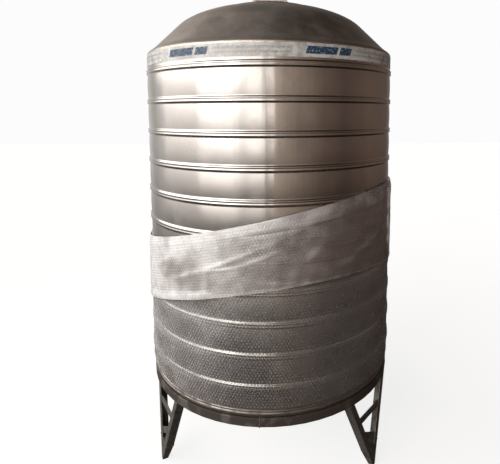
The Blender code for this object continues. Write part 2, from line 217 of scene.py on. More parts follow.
def set_up_camera():
    data = bpy.data.cameras.new("camera")
    data.lens, data.sensor_width = LENS, SENSOR
    data.shift_x, data.shift_y = SHIFT_ACROSS, SHIFT_UP
    camera = bpy.data.objects.new("camera", data)
    scene.collection.objects.link(camera)
    yaw, pitch, roll = (math.radians(angle) for angle in (YAW, PITCH, ROLL))
    sight = Vector((math.sin(yaw), math.cos(yaw), 0.0)) * math.cos(pitch)
    sight.z = -math.sin(pitch)
    level = Vector((math.cos(yaw), -math.sin(yaw), 0.0))
    upright = level.cross(sight)
    right = level * math.cos(roll) + upright * math.sin(roll)
    up = upright * math.cos(roll) - level * math.sin(roll)
    turn = Matrix((right, up, -sight)).transposed()
    camera.matrix_world = Matrix.Translation(EYE) @ turn.to_4x4()
    scene.camera = camera


light_studio()
lay_floor()
set_up_camera()

# The stand: three legs of angle bar, each a narrow V welded into a closed foot, with flat
# struts across it. The legs carry a ring of square tube with a three-armed spider inside.
# It is mild steel, dull and dirty, with small weld beads at its joints.
LEGS = ("left", "right", "rear")
LEG_PIECES = ("arm_a", "arm_b", "foot", "strut_upper", "strut_lower")
EDGE_ROUND, RING_ROUND = 0.0012, 0.003
# Degrees between faces from which an edge is rounded, and from which it is shaded sharp.
ROUNDED_FROM, SHARP_FROM = 32, 45
WELD_PITCH, WELD_SIZE, WELD_SPREAD = 0.0035, 0.0042, (0.75, 1.25)
# How near to a height a bar's end face has to lie.
END_SLACK = 0.0008
STEEL_LIGHT = (0.235, 0.228, 0.205)
STEEL_DARK = (0.050, 0.040, 0.034)
RUST = (0.16, 0.070, 0.035)


def shader_group(name, inputs, outputs):
    """A node group whose inputs and outputs are all floats."""
    group = bpy.data.node_groups.new(name, "ShaderNodeTree")
    for label, value in inputs.items():
        socket = group.interface.new_socket(label, in_out="INPUT", socket_type="NodeSocketFloat")
        socket.default_value = value
    for label in outputs:
        group.interface.new_socket(label, in_out="OUTPUT", socket_type="NodeSocketFloat")
    given = group.nodes.new("NodeGroupInput").outputs
    put_out = group.nodes.new("NodeGroupOutput").inputs
    return group, given, put_out


def place_group(tree, group, **values):
    """Puts a shader group in a material, with its inputs given by their names."""
    made = add_node(tree, "ShaderNodeGroup", node_tree=group)
    for label, value in values.items():
        feed(tree, made.inputs[label.replace("_", " ")], value)
    return made.outputs


def noise(tree, place, scale, detail=2.0, roughness=0.5):
    made = add_node(
        tree,
        "ShaderNodeTexNoise",
        {"Vector": place, "Scale": scale, "Detail": detail, "Roughness": roughness},
    )
    return made.outputs["Fac"]


def object_place(tree, stretch=(1.0, 1.0, 1.0)):
    """Object coordinates, pulled along each axis."""
    place = add_node(tree, "ShaderNodeTexCoord").outputs["Object"]
    return add_node(tree, "ShaderNodeMapping", {"Vector": place, "Scale": stretch}).outputs[0]


def blend_colours(tree, share, first, second):
    """Mixes two colours. The mix node takes them at sockets 6 and 7, and gives socket 2."""
    made = add_node(tree, "ShaderNodeMix", {"Factor": share}, data_type="RGBA")
    for index, colour in ((6, first), (7, second)):
        if isinstance(colour, tuple) and len(colour) == 3:
            colour = (*colour, 1.0)
        feed(tree, made.inputs[index], colour)
    return made.outputs[2]


def bump(tree, height, distance, strength=1.0):
    inputs = {"Height": height, "Distance": distance, "Strength": strength}
    return add_node(tree, "ShaderNodeBump", inputs).outputs[0]


def make_darkening_group():
    """Darkening in patches, and more of it below a height: dirt on the steel, and on the film
    only a darker film in patches and towards the bottom.
    """
    inputs = {"Height": 0.4, "Fade": 0.3, "Amount": 0.5, "Density": 14.0}
    group, given, put_out = shader_group("darkened", inputs, ("Mask", "Speckle"))
    place = object_place(group)
    height = add_node(group, "ShaderNodeSeparateXYZ", {0: place}).outputs["Z"]
    top = maths(group, "ADD", given["Height"], given["Fade"])
    low = eased(group, height, top, given["Height"])
    patches = eased(group, noise(group, place, given["Density"], 5.0, 0.6), 0.38, 0.68)
    mixed = maths(group, "MULTIPLY_ADD", low, 0.45, patches)
    feed(group, put_out["Mask"], maths(group, "MULTIPLY", mixed, given["Amount"]))
    speckle = noise(group, place, maths(group, "MULTIPLY", given["Density"], 30.0), 3.0)
    feed(group, put_out["Speckle"], eased(group, speckle, 0.52, 0.70))
    return group


DARKENING = make_darkening_group()


def make_stand_steel(name, dirt_top, amount):
    made, tree, shader = new_material(name)
    dirt = place_group(tree, DARKENING, Height=dirt_top, Fade=0.34, Amount=amount, Density=16.0)
    rolled = noise(tree, object_place(tree), 5.0, 4.0)
    shade = maths(tree, "ADD", dirt["Mask"], eased(tree, rolled, 0.35, 0.7, -0.15, 0.3))
    shade = eased(tree, shade, 0.0, 1.0, curve="LINEAR")
    colour = blend_colours(tree, shade, STEEL_LIGHT, STEEL_DARK)
    rusty = maths(tree, "MULTIPLY", dirt["Speckle"], 0.35)
    colour = blend_colours(tree, rusty, colour, RUST)
    feed(tree, shader.inputs["Base Color"], colour)
    feed(tree, shader.inputs["Metallic"], eased(tree, shade, 0.0, 1.0, 0.75, 0.25))
    feed(tree, shader.inputs["Roughness"], eased(tree, shade, 0.0, 1.0, 0.42, 0.72))
    pitted = noise(tree, object_place(tree), 320.0, 4.0)
    feed(tree, shader.inputs["Normal"], bump(tree, pitted, 0.0006, 0.5))
    return made


STAND_STEEL = make_stand_steel("dull_stand_steel", 0.0, 0.75)
RING_STEEL = make_stand_steel("stained_ring_steel", 0.40, 1.30)


def paint(mesh, material):
    mesh.materials.clear()
    mesh.materials.append(material)


def link_piece(name, mesh, material=None):
    if material is not None:
        paint(mesh, material)
    made = bpy.data.objects.new(name, mesh)
    scene.collection.objects.link(made)
    return made


def finish_piece(piece, slot, *replaced):
    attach(piece, "root")
    if replaced:
        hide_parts(*replaced)
    return piece


def merged_copy(node):
    """A copy of a CAD node's mesh with its loose triangles joined up."""
    bm = bmesh.new()
    bm.from_mesh(nodes[node].data)
    bmesh.ops.remove_doubles(bm, verts=bm.verts, dist=0.00002)
    flat = math.radians(1.0)
    bmesh.ops.dissolve_limit(bm, angle_limit=flat, verts=bm.verts, edges=bm.edges)
    return bm


def rounded_copy(node, material, width=EDGE_ROUND, segments=2):
    """A CAD node's own shape with rounded edges."""
    mesh = mesh_from(merged_copy(node), f"{node}_finished")
    piece = link_piece(mesh.name, mesh, material)
    modifier = piece.modifiers.new("rounded_edges", "BEVEL")
    modifier.width, modifier.segments = width, segments
    modifier.angle_limit = math.radians(ROUNDED_FROM)
    mesh.shade_smooth()
    mesh.set_sharp_from_angle(angle=math.radians(SHARP_FROM))
    return piece


def new_tree(name, inputs):
    """A geometry tree with these inputs, each given as (label, kind, value)."""
    tree = bpy.data.node_groups.new(name, "GeometryNodeTree")
    for label, kind, value in inputs:
        socket = tree.interface.new_socket(label, in_out="INPUT", socket_type=f"NodeSocket{kind}")
        if value is not None:
            socket.default_value = value
    tree.interface.new_socket("Geometry", in_out="OUTPUT", socket_type="NodeSocketGeometry")
    return tree, tree.nodes.new("NodeGroupInput").outputs


def close_tree(tree, given, geometry):
    """Ends a tree: smooth faces, the piece's material, and real meshes, not instances."""
    real = add_node(tree, "GeometryNodeRealizeInstances", {0: geometry}).outputs[0]
    smooth = add_node(tree, "GeometryNodeSetShadeSmooth", {0: real}).outputs[0]
    painted = add_node(tree, "GeometryNodeSetMaterial", {0: smooth, "Material": given["Material"]})
    feed(tree, tree.nodes.new("NodeGroupOutput").inputs[0], painted.outputs[0])
    return tree


def grown(name, tree, base, **values):
    """The plain mesh that a geometry tree makes from a base mesh."""
    piece = link_piece(name, base)
    modifier = piece.modifiers.new("grown", "NODES")
    modifier.node_group = tree
    for item in tree.interface.items_tree:
        label = item.name.replace(" ", "_")
        if item.in_out == "INPUT" and label in values:
            modifier[item.identifier] = values[label]
    graph = bpy.context.evaluated_depsgraph_get()
    mesh = bpy.data.meshes.new_from_object(piece.evaluated_get(graph))
    piece.modifiers.clear()
    piece.data = mesh
    mesh.name = name
    return piece


def uneven_scale(tree, seed, least, most):
    """A random scale for each instance, between these two."""
    limits = {"Seed": seed, 2: least, 3: most}
    return add_node(tree, "FunctionNodeRandomValue", limits, data_type="FLOAT").outputs[1]


def make_weld_tree():
    """Beads of weld metal, one after another along the lines of a wire mesh."""
    tree, given = new_tree(
        "weld_beads",
        [
            ("Geometry", "Geometry", None),
            ("Pitch", "Float", WELD_PITCH),
            ("Size", "Float", WELD_SIZE),
            ("Seed", "Int", 3),
            ("Material", "Material", None),
        ],
    )
    line = add_node(tree, "GeometryNodeMeshToCurve", {0: given["Geometry"]}).outputs[0]
    spaced = add_node(tree, "GeometryNodeResampleCurve", {0: line}, mode="LENGTH")
    feed(tree, spaced.inputs["Length"], given["Pitch"])
    ball = add_node(tree, "GeometryNodeMeshIcoSphere", {"Subdivisions": 1})
    feed(tree, ball.inputs["Radius"], maths(tree, "MULTIPLY", given["Size"], 0.5))
    inputs = {"Points": spaced.outputs[0], "Instance": ball.outputs[0]}
    inputs["Scale"] = uneven_scale(tree, given["Seed"], *WELD_SPREAD)
    beads = add_node(tree, "GeometryNodeInstanceOnPoints", inputs)
    return close_tree(tree, given, beads.outputs[0])


WELD_TREE = make_weld_tree()


def wire_mesh(name, lines):
    """A mesh of edges only, from lists of points."""
    points, edges = [], []
    for line in lines:
        first = len(points)
        points += [tuple(point) for point in line]
        edges += [(first + i, first + i + 1) for i in range(len(line) - 1)]
    mesh = bpy.data.meshes.new(name)
    mesh.from_pydata(points, edges, [])
    return mesh


def line_round(face):
    line = [vertex.co.copy() for vertex in face.verts]
    return line + line[:1]


def end_outline(node, level):
    """The closed outline of a bar's end face that lies at a height."""
    bm = merged_copy(node)
    ends = [face for face in bm.faces if abs(face.calc_center_median().z - level) < END_SLACK]
    line = line_round(max(ends, key=lambda face: face.calc_area()))
    bm.free()
    return line


def end_faces(node):
    """The closed outlines of a bar's two ends, its smallest faces."""
    bm = merged_copy(node)
    smallest = sorted(bm.faces, key=lambda face: face.calc_area())[:2]
    lines = [line_round(face) for face in smallest]
    bm.free()
    return lines


def build_stand():
    welds = []
    for leg in LEGS:
        for part in LEG_PIECES:
            node = f"{leg}_{part}"
            finish_piece(rounded_copy(node, STAND_STEEL), "stand_steel", node)
        for arm in ("arm_a", "arm_b"):
            node = f"{leg}_{arm}"
            welds += [end_outline(node, corner.z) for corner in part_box(node)]
        for strut in ("strut_upper", "strut_lower"):
            welds += end_faces(f"{leg}_{strut}")
        node = f"ring_{leg}"
        ring = rounded_copy(node, RING_STEEL, RING_ROUND, 3)
        finish_piece(ring, "stand_steel", node)
        welds += end_faces(node)
    node = "ring_spider"
    finish_piece(rounded_copy(node, RING_STEEL), "stand_steel", node)
    base = wire_mesh("stand_welds", welds)
    piece = grown("stand_welds", WELD_TREE, base, Material=STAND_STEEL)
    finish_piece(piece, "stand_steel")


build_stand()

# The base: a rolled rim with two ridges that stands on the ring, a floor plate on its lip,
# and a screwed outlet socket through the middle. All are stainless steel, welded together,
# and the rim and the plate are stained where water ran off the jacket.
TURNED_SIDES, TURNED_SHARP_FROM = 192, 40
SOCKET_SIDES, SOCKET_BORE, SOCKET_ROUND = 64, 0.0135, 0.0012
STAINLESS = (0.64, 0.60, 0.565)
STAINLESS_DULL = (0.57, 0.495, 0.435)
STAINLESS_DARK = (0.46, 0.42, 0.385)
STAINLESS_STAINED = (0.36, 0.33, 0.305)
GRIME_BROWN = (0.105, 0.080, 0.066)


def make_rolled_sheet_group():
    """Rolled stainless sheet: fine lines round the tank, slow waves, and smudges."""
    inputs = {"Line Density": 620.0, "Wave Density": 24.0, "Smudge Density": 5.0}
    group, given, put_out = shader_group("rolled_sheet", inputs, ("Lines", "Smudge", "Relief"))
    around = object_place(group, (3.0, 3.0, 600.0))
    density = maths(group, "DIVIDE", given["Line Density"], 600.0)
    feed(group, put_out["Lines"], noise(group, around, density, 3.0))
    smudge = noise(group, object_place(group), given["Smudge Density"], 5.0, 0.62)
    feed(group, put_out["Smudge"], eased(group, smudge, 0.35, 0.72))
    upright = object_place(group, (1.0, 1.0, 0.06))
    ripple = noise(group, upright, given["Wave Density"], 2.0)
    slow = noise(group, object_place(group), 7.0, 1.0)
    feed(group, put_out["Relief"], maths(group, "MULTIPLY_ADD", slow, 2.5, ripple))
    return group


ROLLED_SHEET = make_rolled_sheet_group()


def make_stainless(name, tint, *, roughness, grain, wave, dirt, dirt_top=0.3, density=14.0):
    """Stainless sheet with a satin grain that draws reflections out up and down."""
    made, tree, shader = new_material(name)
    sheet = place_group(tree, ROLLED_SHEET)
    darkened = place_group(tree, DARKENING, Height=dirt_top, Fade=0.25, Amount=dirt, Density=density)
    worn = maths(tree, "MULTIPLY_ADD", sheet["Lines"], 0.25, sheet["Smudge"])
    colour = blend_colours(tree, maths(tree, "MULTIPLY", worn, 0.22), tint, STAINLESS_DARK)
    colour = blend_colours(tree, darkened["Mask"], colour, GRIME_BROWN)
    feed(tree, shader.inputs["Base Color"], colour)
    feed(tree, shader.inputs["Metallic"], eased(tree, darkened["Mask"], 0.0, 1.0, 1.0, 0.6))
    rough = eased(tree, sheet["Smudge"], 0.0, 1.0, roughness, roughness + 0.09)
    rough = maths(tree, "MULTIPLY_ADD", darkened["Mask"], 0.3, rough)
    feed(tree, shader.inputs["Roughness"], rough)
    shader.inputs["Anisotropic"].default_value = grain
    shader.inputs["Anisotropic Rotation"].default_value = 0.25
    tangent = add_node(tree, "ShaderNodeTangent", direction_type="RADIAL", axis="Z")
    feed(tree, shader.inputs["Tangent"], tangent.outputs[0])
    feed(tree, shader.inputs["Normal"], bump(tree, sheet["Relief"], wave))
    return made


JACKET_STEEL = make_stainless(
    "satin_jacket", STAINLESS, roughness=0.19, grain=0.75, wave=0.0006, dirt=0.05
)
BASE_STEEL = make_stainless(
    "stained_base",
    STAINLESS_STAINED,
    roughness=0.26,
    grain=0.5,
    wave=0.0004,
    dirt=0.60,
    dirt_top=0.44,
    density=20.0,
)
DOME_STEEL = make_stainless(
    "matt_dome", STAINLESS_DULL, roughness=0.34, grain=0.3, wave=0.0008, dirt=0.25
)
INNER_STEEL = make_stainless(
    "inner_vessel", STAINLESS, roughness=0.24, grain=0.6, wave=0.0004, dirt=0.05
)


def softened(path, radius, steps=4):
    """The path with each inner corner rounded off within this distance of it."""
    made = [Vector(path[0])]
    for before, corner, after in zip(path, path[1:], path[2:]):
        before, corner, after = Vector(before), Vector(corner), Vector(after)
        back, on = before - corner, after - corner
        start = corner + back.normalized() * min(radius, back.length * 0.45)
        end = corner + on.normalized() * min(radius, on.length * 0.45)
        for step in range(steps + 1):
            share = step / steps
            low, high = start.lerp(corner, share), corner.lerp(end, share)
            made.append(low.lerp(high, share))
    made.append(Vector(path[-1]))
    return made


def turned(name, outline, material, centre=(0.0, 0.0), sides=TURNED_SIDES):
    """A closed outline of (radius, height) points spun all the way round."""
    bm = bmesh.new()
    ring = [bm.verts.new((point[0], 0.0, point[1])) for point in outline]
    edges = [bm.edges.new(pair) for pair in zip(ring, ring[1:] + ring[:1])]
    bmesh.ops.spin(bm, geom=edges, axis=(0, 0, 1), angle=2 * math.pi, steps=sides, use_merge=True)
    bmesh.ops.remove_doubles(bm, verts=bm.verts, dist=0.000005)
    bmesh.ops.recalc_face_normals(bm, faces=bm.faces)
    bmesh.ops.translate(bm, verts=bm.verts, vec=(*centre, 0.0))
    mesh = mesh_from(bm, name)
    mesh.shade_smooth()
    mesh.set_sharp_from_angle(angle=math.radians(TURNED_SHARP_FROM))
    return link_piece(name, mesh, material)


def turn_socket(node):
    """A pipe socket: a short tube with rounded ends."""
    low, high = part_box(node)
    middle, r = (low + high) / 2, (high.x - low.x) / 2
    outline = [(r, low.z), (r, high.z), (SOCKET_BORE, high.z), (SOCKET_BORE, low.z)]
    outline = softened(outline + outline[:1], SOCKET_ROUND)[1:]
    name, centre = f"{node}_turned", (middle.x, middle.y)
    socket = turned(name, outline, DOME_STEEL, centre, SOCKET_SIDES)
    finish_piece(socket, "stainless_skin", node)


# From the inner vessel's outside to the jacket's.
SKIN_TO_SKIN = 0.0416
JACKET_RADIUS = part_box("inner_wall")[1].x + SKIN_TO_SKIN
# How far the rim's ridges and its waist stand out from the jacket, and how far its foot
# and its lip lie inside it.
RIM_RIDGE, WAIST_OUT = 0.004, 0.001
FOOT_IN, FOOT_INSIDE, LIP_IN = 0.006, 0.008, 0.048
# How high the ridges and the waist lie on the rim.
UPPER_RIDGE, WAIST_UP, LOWER_RIDGE = (0.0290, 0.0255), 0.0220, (0.0180, 0.0130)
RIM_SHEET, RIM_ROUND = 0.0012, 0.0022


def build_base():
    bottom, top = (corner.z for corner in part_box("base_rim"))
    r, ridge = JACKET_RADIUS, JACKET_RADIUS + RIM_RIDGE
    outside = [(r - RIM_SHEET, top), (r, top)]
    outside += [(ridge, bottom + up) for up in UPPER_RIDGE]
    outside += [(r + WAIST_OUT, bottom + WAIST_UP)]
    outside += [(ridge, bottom + up) for up in LOWER_RIDGE]
    outside += [(r - FOOT_IN, bottom), (r - LIP_IN, bottom)]
    inside = [
        (r - LIP_IN, bottom + RIM_SHEET),
        (r - FOOT_INSIDE, bottom + RIM_SHEET),
        (r - RIM_SHEET, bottom + LOWER_RIDGE[1]),
    ]
    outline = softened(outside, RIM_ROUND) + inside
    rim = turned("base_rim_rolled", outline, BASE_STEEL)
    finish_piece(rim, "stainless_skin", "base_rim")
    paint(nodes["base_plate"].data, BASE_STEEL)
    turn_socket("outlet_socket")


build_base()

# The inner vessel and its foam: a plain stainless tank inside, and yellow polyurethane
# foam that was poured between it and the jacket. Neither shows on the closed tank.
FOAM_YELLOW = (0.72, 0.58, 0.30)
FOAM_SHADE = (0.55, 0.40, 0.17)


def make_foam():
    made, tree, shader = new_material("poured_foam")
    place = object_place(tree)
    cells = noise(tree, place, 260.0, 3.0)
    clouds = eased(tree, noise(tree, place, 9.0, 3.0), 0.35, 0.7)
    feed(tree, shader.inputs["Base Color"], blend_colours(tree, clouds, FOAM_YELLOW, FOAM_SHADE))
    shader.inputs["Roughness"].default_value = 0.9
    feed(tree, shader.inputs["Normal"], bump(tree, cells, 0.0012))
    return made


def finish_inside():
    foam = make_foam()
    for name, node in nodes.items():
        if name.startswith("foam_"):
            paint(node.data, foam)
        elif name.startswith("inner_"):
            paint(node.data, INNER_STEEL)


finish_inside()

# The jacket: two courses of thin stainless sheet, rolled round. Beads are swaged out of it
# every 120 mm or so to stiffen it, each a double ridge, and the sheet bulges a little
# between them. In front, the courses meet under the slanting wrap.
BEAD_HEIGHT, BEAD_WIDTH, BEAD_CREST = 0.005, 0.026, 0.012
BEAD_GROOVE, BAY_BULGE = 0.0014, 0.0018
SHEET_WAVE, WAVE_DENSITY = 0.0009, 4.5
COURSES = {
    "upper": {"first": 1.0718, "pitch": 0.1202, "count": 6, "rows": 286},
    "lower": {"first": 0.5161, "pitch": 0.1168, "count": 5, "rows": 200},
}


def make_course_tree():
    """A rolled course of sheet with beads, as a grid bent round the tank's axis."""
    tree, given = new_tree(
        "beaded_course",
        [
            ("Geometry", "Geometry", None),
            ("Radius", "Float", 0.5),
            ("Bottom", "Float", 0.0),
            ("Top", "Float", 1.0),
            ("First Bead", "Float", 0.1),
            ("Bead Pitch", "Float", 0.12),
            ("Bead Count", "Int", 5),
            ("Bead Height", "Float", BEAD_HEIGHT),
            ("Bead Width", "Float", BEAD_WIDTH),
            ("Bead Crest", "Float", BEAD_CREST),
            ("Groove", "Float", BEAD_GROOVE),
            ("Bulge", "Float", BAY_BULGE),
            ("Wave", "Float", SHEET_WAVE),
            ("Sides", "Int", TURNED_SIDES),
            ("Rows", "Int", 100),
            ("Material", "Material", None),
        ],
    )
    grid = add_node(tree, "GeometryNodeMeshGrid")
    feed(tree, grid.inputs["Vertices X"], maths(tree, "ADD", given["Sides"], 1.0))
    feed(tree, grid.inputs["Vertices Y"], given["Rows"])
    place = add_node(tree, "GeometryNodeInputPosition").outputs[0]
    flat = add_node(tree, "ShaderNodeSeparateXYZ", {0: place}).outputs
    bearing = maths(tree, "MULTIPLY", flat["X"], 2 * math.pi)
    height = eased(tree, flat["Y"], -0.5, 0.5, given["Bottom"], given["Top"], "LINEAR")
    above = maths(tree, "SUBTRACT", height, given["First Bead"])
    nearest = maths(tree, "ROUND", maths(tree, "DIVIDE", above, given["Bead Pitch"]))
    last = maths(tree, "SUBTRACT", given["Bead Count"], 1.0)
    nearest = maths(tree, "MAXIMUM", maths(tree, "MINIMUM", nearest, last), 0.0)
    middle = maths(tree, "MULTIPLY", nearest, given["Bead Pitch"])
    away = maths(tree, "ABSOLUTE", maths(tree, "SUBTRACT", above, middle))
    foot = maths(tree, "MULTIPLY", given["Bead Width"], 0.5)
    shoulder = maths(tree, "MULTIPLY", given["Bead Crest"], 0.5)
    rise = eased(tree, away, foot, shoulder, 0.0, given["Bead Height"])
    dip = eased(tree, away, shoulder, 0.0, 0.0, given["Groove"])
    middle_of_bay = maths(tree, "MULTIPLY", given["Bead Pitch"], 0.5)
    half_bay = maths(tree, "SUBTRACT", middle_of_bay, foot)
    along_bay = maths(tree, "DIVIDE", maths(tree, "SUBTRACT", middle_of_bay, away), half_bay)
    hump = maths(tree, "SUBTRACT", 1.0, maths(tree, "POWER", along_bay, 2.0))
    hump = maths(tree, "MULTIPLY", maths(tree, "MAXIMUM", hump, 0.0), given["Bulge"])
    half_run = maths(tree, "MULTIPLY", last, middle_of_bay)
    off_middle = maths(tree, "ABSOLUTE", maths(tree, "SUBTRACT", above, half_run))
    between_beads = maths(tree, "LESS_THAN", off_middle, half_run)
    rise = maths(tree, "MULTIPLY_ADD", hump, between_beads, rise)
    round_it = add_node(
        tree,
        "ShaderNodeCombineXYZ",
        {"X": maths(tree, "SINE", bearing), "Y": maths(tree, "COSINE", bearing)},
    ).outputs[0]
    round_it = vectors(tree, "MULTIPLY", round_it, (1.0, -1.0, 0.0))
    level = add_node(tree, "ShaderNodeCombineXYZ", {"Z": height}).outputs[0]
    stretched = vectors(tree, "MULTIPLY", level, (1.0, 1.0, 0.7))
    patch = vectors(tree, "ADD", vectors(tree, "SCALE", round_it, 0.5), stretched)
    uneven = maths(tree, "SUBTRACT", noise(tree, patch, WAVE_DENSITY, 1.0), 0.5)
    wave = maths(tree, "MULTIPLY", uneven, given["Wave"])
    reach = maths(tree, "ADD", given["Radius"], maths(tree, "SUBTRACT", rise, dip))
    reach = maths(tree, "ADD", reach, wave)
    surface = vectors(tree, "ADD", vectors(tree, "SCALE", round_it, reach), level)
    bent = add_node(
        tree,
        "GeometryNodeSetPosition",
        {"Geometry": grid.outputs[0], "Position": surface},
    ).outputs[0]
    joined = add_node(
        tree, "GeometryNodeMergeByDistance", {"Geometry": bent, "Distance": 0.00002}
    ).outputs[0]
    return close_tree(tree, given, joined)


def build_jacket():
    tree = make_course_tree()
    for course, beads in COURSES.items():
        node = f"shell_{course}"
        low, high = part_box(node)
        piece = grown(
            f"{node}_sheet",
            tree,
            bpy.data.meshes.new(node),
            Radius=JACKET_RADIUS,
            Bottom=low.z,
            Top=high.z,
            First_Bead=beads["first"],
            Bead_Pitch=beads["pitch"],
            Bead_Count=beads["count"],
            Rows=beads["rows"],
            Material=JACKET_STEEL,
        )
        finish_piece(piece, "stainless_skin", node)


build_jacket()

# The dome: a pressed knuckle over the jacket, a steep cone, and a crown that rounds off
# towards the manhole. It is one piece of duller stainless sheet, and its skirt is folded
# over the jacket's top edge.
DOME_SHEET, DOME_SKIRT, DOME_ROUND, NECK_PLAY = 0.001, 0.004, 0.014, 0.0003
# The knuckle's inside, then the cone and the crown: inward from the jacket, and up from
# the dome's lower edge.
KNUCKLE_INSIDE = (0.0200, 0.0170)
DOME_RISE = [
    (0.0060, 0.0110),
    (0.0235, 0.0230),
    (0.1315, 0.1290),
    (0.1495, 0.1430),
    (0.1715, 0.1560),
    (0.1935, 0.1670),
    (0.2235, 0.1790),
    (0.2535, 0.1895),
]


def build_dome():
    low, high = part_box("dome")
    r, shoulder = JACKET_RADIUS, low.z
    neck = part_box("manhole_neck")[1].x + NECK_PLAY
    outside = [(r, shoulder), (r, shoulder + DOME_SKIRT)]
    outside += [(r - inward, shoulder + up) for inward, up in DOME_RISE]
    outside += [(neck, high.z)]
    skin = softened(outside, DOME_ROUND, 5)
    inside = [(x - 0.4 * DOME_SHEET, z - 1.6 * DOME_SHEET) for x, z in outside[3:]]
    inward, up = KNUCKLE_INSIDE
    under = [(r - 1.5 * DOME_SHEET, shoulder), (r - inward, shoulder + up)]
    outline = [tuple(point) for point in skin] + inside[::-1] + under[::-1]
    dome = turned("dome_pressed", outline, DOME_STEEL)
    finish_piece(dome, "stainless_skin", "dome")


build_dome()

# The manhole: a welded neck with a pressed lid over it, and a flat bar bent to a handle.
# The inlet is a screwed socket welded through the dome at the back right. The lid lifts off
# by hand and is made of the same dull sheet as the dome.
NECK_WALL, LID_SHEET, LID_ROLL = 0.002, 0.0015, 0.002
# The lid's top and, last, its underside: outward from the middle, and down from the top.
LID_FALL = [(0.0, 0.0), (0.020, 0.0), (0.080, 0.0045), (0.150, 0.0160)]
LID_UNDERSIDE = (0.150, 0.0176)
# The lid's edge: how high it stands, its corner outside and inside, and its rounding.
LID_EDGE, LID_CORNER, LID_CORNER_INSIDE, LID_ROUND = 0.0085, 0.004, 0.0045, 0.004
HANDLE_ROUND = 0.0015


def build_manhole():
    low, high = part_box("manhole_neck")
    outer, inner = high.x, high.x - NECK_WALL
    outline = [(outer, low.z), (outer, high.z), (inner, high.z), (inner, low.z)]
    neck = turned("manhole_neck_welded", outline, DOME_STEEL)
    finish_piece(neck, "stainless_skin", "manhole_neck")
    low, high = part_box("manhole_lid")
    r, edge = high.x, low.z + LID_EDGE
    outside = [(outward, high.z - down) for outward, down in LID_FALL]
    outside += [
        (r - LID_CORNER, edge),
        (r, edge - LID_CORNER),
        (r + LID_ROLL, low.z + LID_SHEET),
        (r, low.z),
    ]
    outward, down = LID_UNDERSIDE
    inside = [
        (r - LID_SHEET, low.z),
        (r - LID_SHEET, edge - LID_CORNER_INSIDE),
        (outward, high.z - down),
        (0.0, high.z - LID_SHEET),
    ]
    outline = softened(outside, LID_ROUND) + inside
    lid = turned("manhole_lid_pressed", outline, DOME_STEEL)
    finish_piece(lid, "stainless_skin", "manhole_lid")
    handle = rounded_copy("lid_handle", DOME_STEEL, HANDLE_ROUND, 3)
    finish_piece(handle, "stainless_skin", "lid_handle")
    turn_socket("inlet_socket")


build_manhole()

# The tape: one turn of clear-white packing tape stuck round the jacket above the top bead.
# It carries a plain printed pattern of navy blocks and thin grey bars, and small wrinkles
# and bubbles where it was not pressed down.
TAPE_LIFT, TAPE_WRINKLE = 0.0007, 0.0011
TAPE_COLUMNS, TAPE_ROWS = 512, 9
# The print repeats at this length. It leans back as it goes up, starts this far round, and
# whole repeats are added so that no share of one is negative.
TAPE_PERIOD, PRINT_LEAN, PRINT_START, WHOLE_REPEATS = 0.526, -0.35, 0.41, 8.0
# Left and right edge of each mark as a share of the repeat, and its height on the tape.
NAVY_BLOCKS = [(0.0, 0.225, 0.012, 0.038), (0.245, 0.340, 0.012, 0.038)]
GREY_BARS = [(0.375, 0.900, 0.013, 0.020), (0.375, 0.900, 0.028, 0.036)]
TAPE_MILK, TAPE_DULL = (0.80, 0.79, 0.765), (0.60, 0.59, 0.57)
TAPE_NAVY = (0.018, 0.060, 0.125)
TAPE_GREY = (0.42, 0.42, 0.41)


def sheet_mesh(name, columns, rows, place):
    """A closed band of faces round the tank. place(bearing, share) gives (radius, height)
    arrays, and the UV map holds metres along and up the band."""
    bearings = 2 * np.pi * np.arange(columns) / columns - np.pi
    shares = np.linspace(0.0, 1.0, rows)
    bearing, share = np.meshgrid(bearings, shares, indexing="ij")
    radius, height = place(bearing, share)
    points = np.stack([radius * np.sin(bearing), -radius * np.cos(bearing), height], axis=-1)
    first = np.arange(columns)[:, None] * rows + np.arange(rows - 1)[None, :]
    second = (np.roll(np.arange(columns), -1)[:, None]) * rows + np.arange(rows - 1)
    faces = np.stack([first, second, second + 1, first + 1], axis=-1).reshape(-1, 4)
    mesh = bpy.data.meshes.new(name)
    mesh.from_pydata(points.reshape(-1, 3).tolist(), [], faces.tolist())
    step = 2 * np.pi / columns * JACKET_RADIUS
    along = (np.arange(columns)[:, None] - columns / 2) * step + np.zeros(rows - 1)
    up, above = height[:, :-1], height[:, 1:]
    corners = [(along, up), (along + step, up), (along + step, above), (along, above)]
    spread = np.stack([np.stack(pair, axis=-1) for pair in corners], axis=2)
    uv_map = mesh.uv_layers.new(name="UVMap")
    uv_map.data.foreach_set("uv", spread.astype(np.float32).ravel())
    mesh.shade_smooth()
    return mesh


def ripples(bearing, height, seed, terms, wavelength):
    """A smooth random surface, mostly from -1 to 1: sine waves that close round the tank."""
    rng = np.random.default_rng(seed)
    total = np.zeros_like(bearing)
    for _ in range(terms):
        lobes = rng.integers(2, max(3, int(2 * np.pi * JACKET_RADIUS / wavelength)))
        lean = rng.normal(0.0, 2 * np.pi / wavelength)
        total += np.sin(lobes * bearing + lean * height + rng.uniform(0, 2 * np.pi))
    return total / math.sqrt(2 * terms)


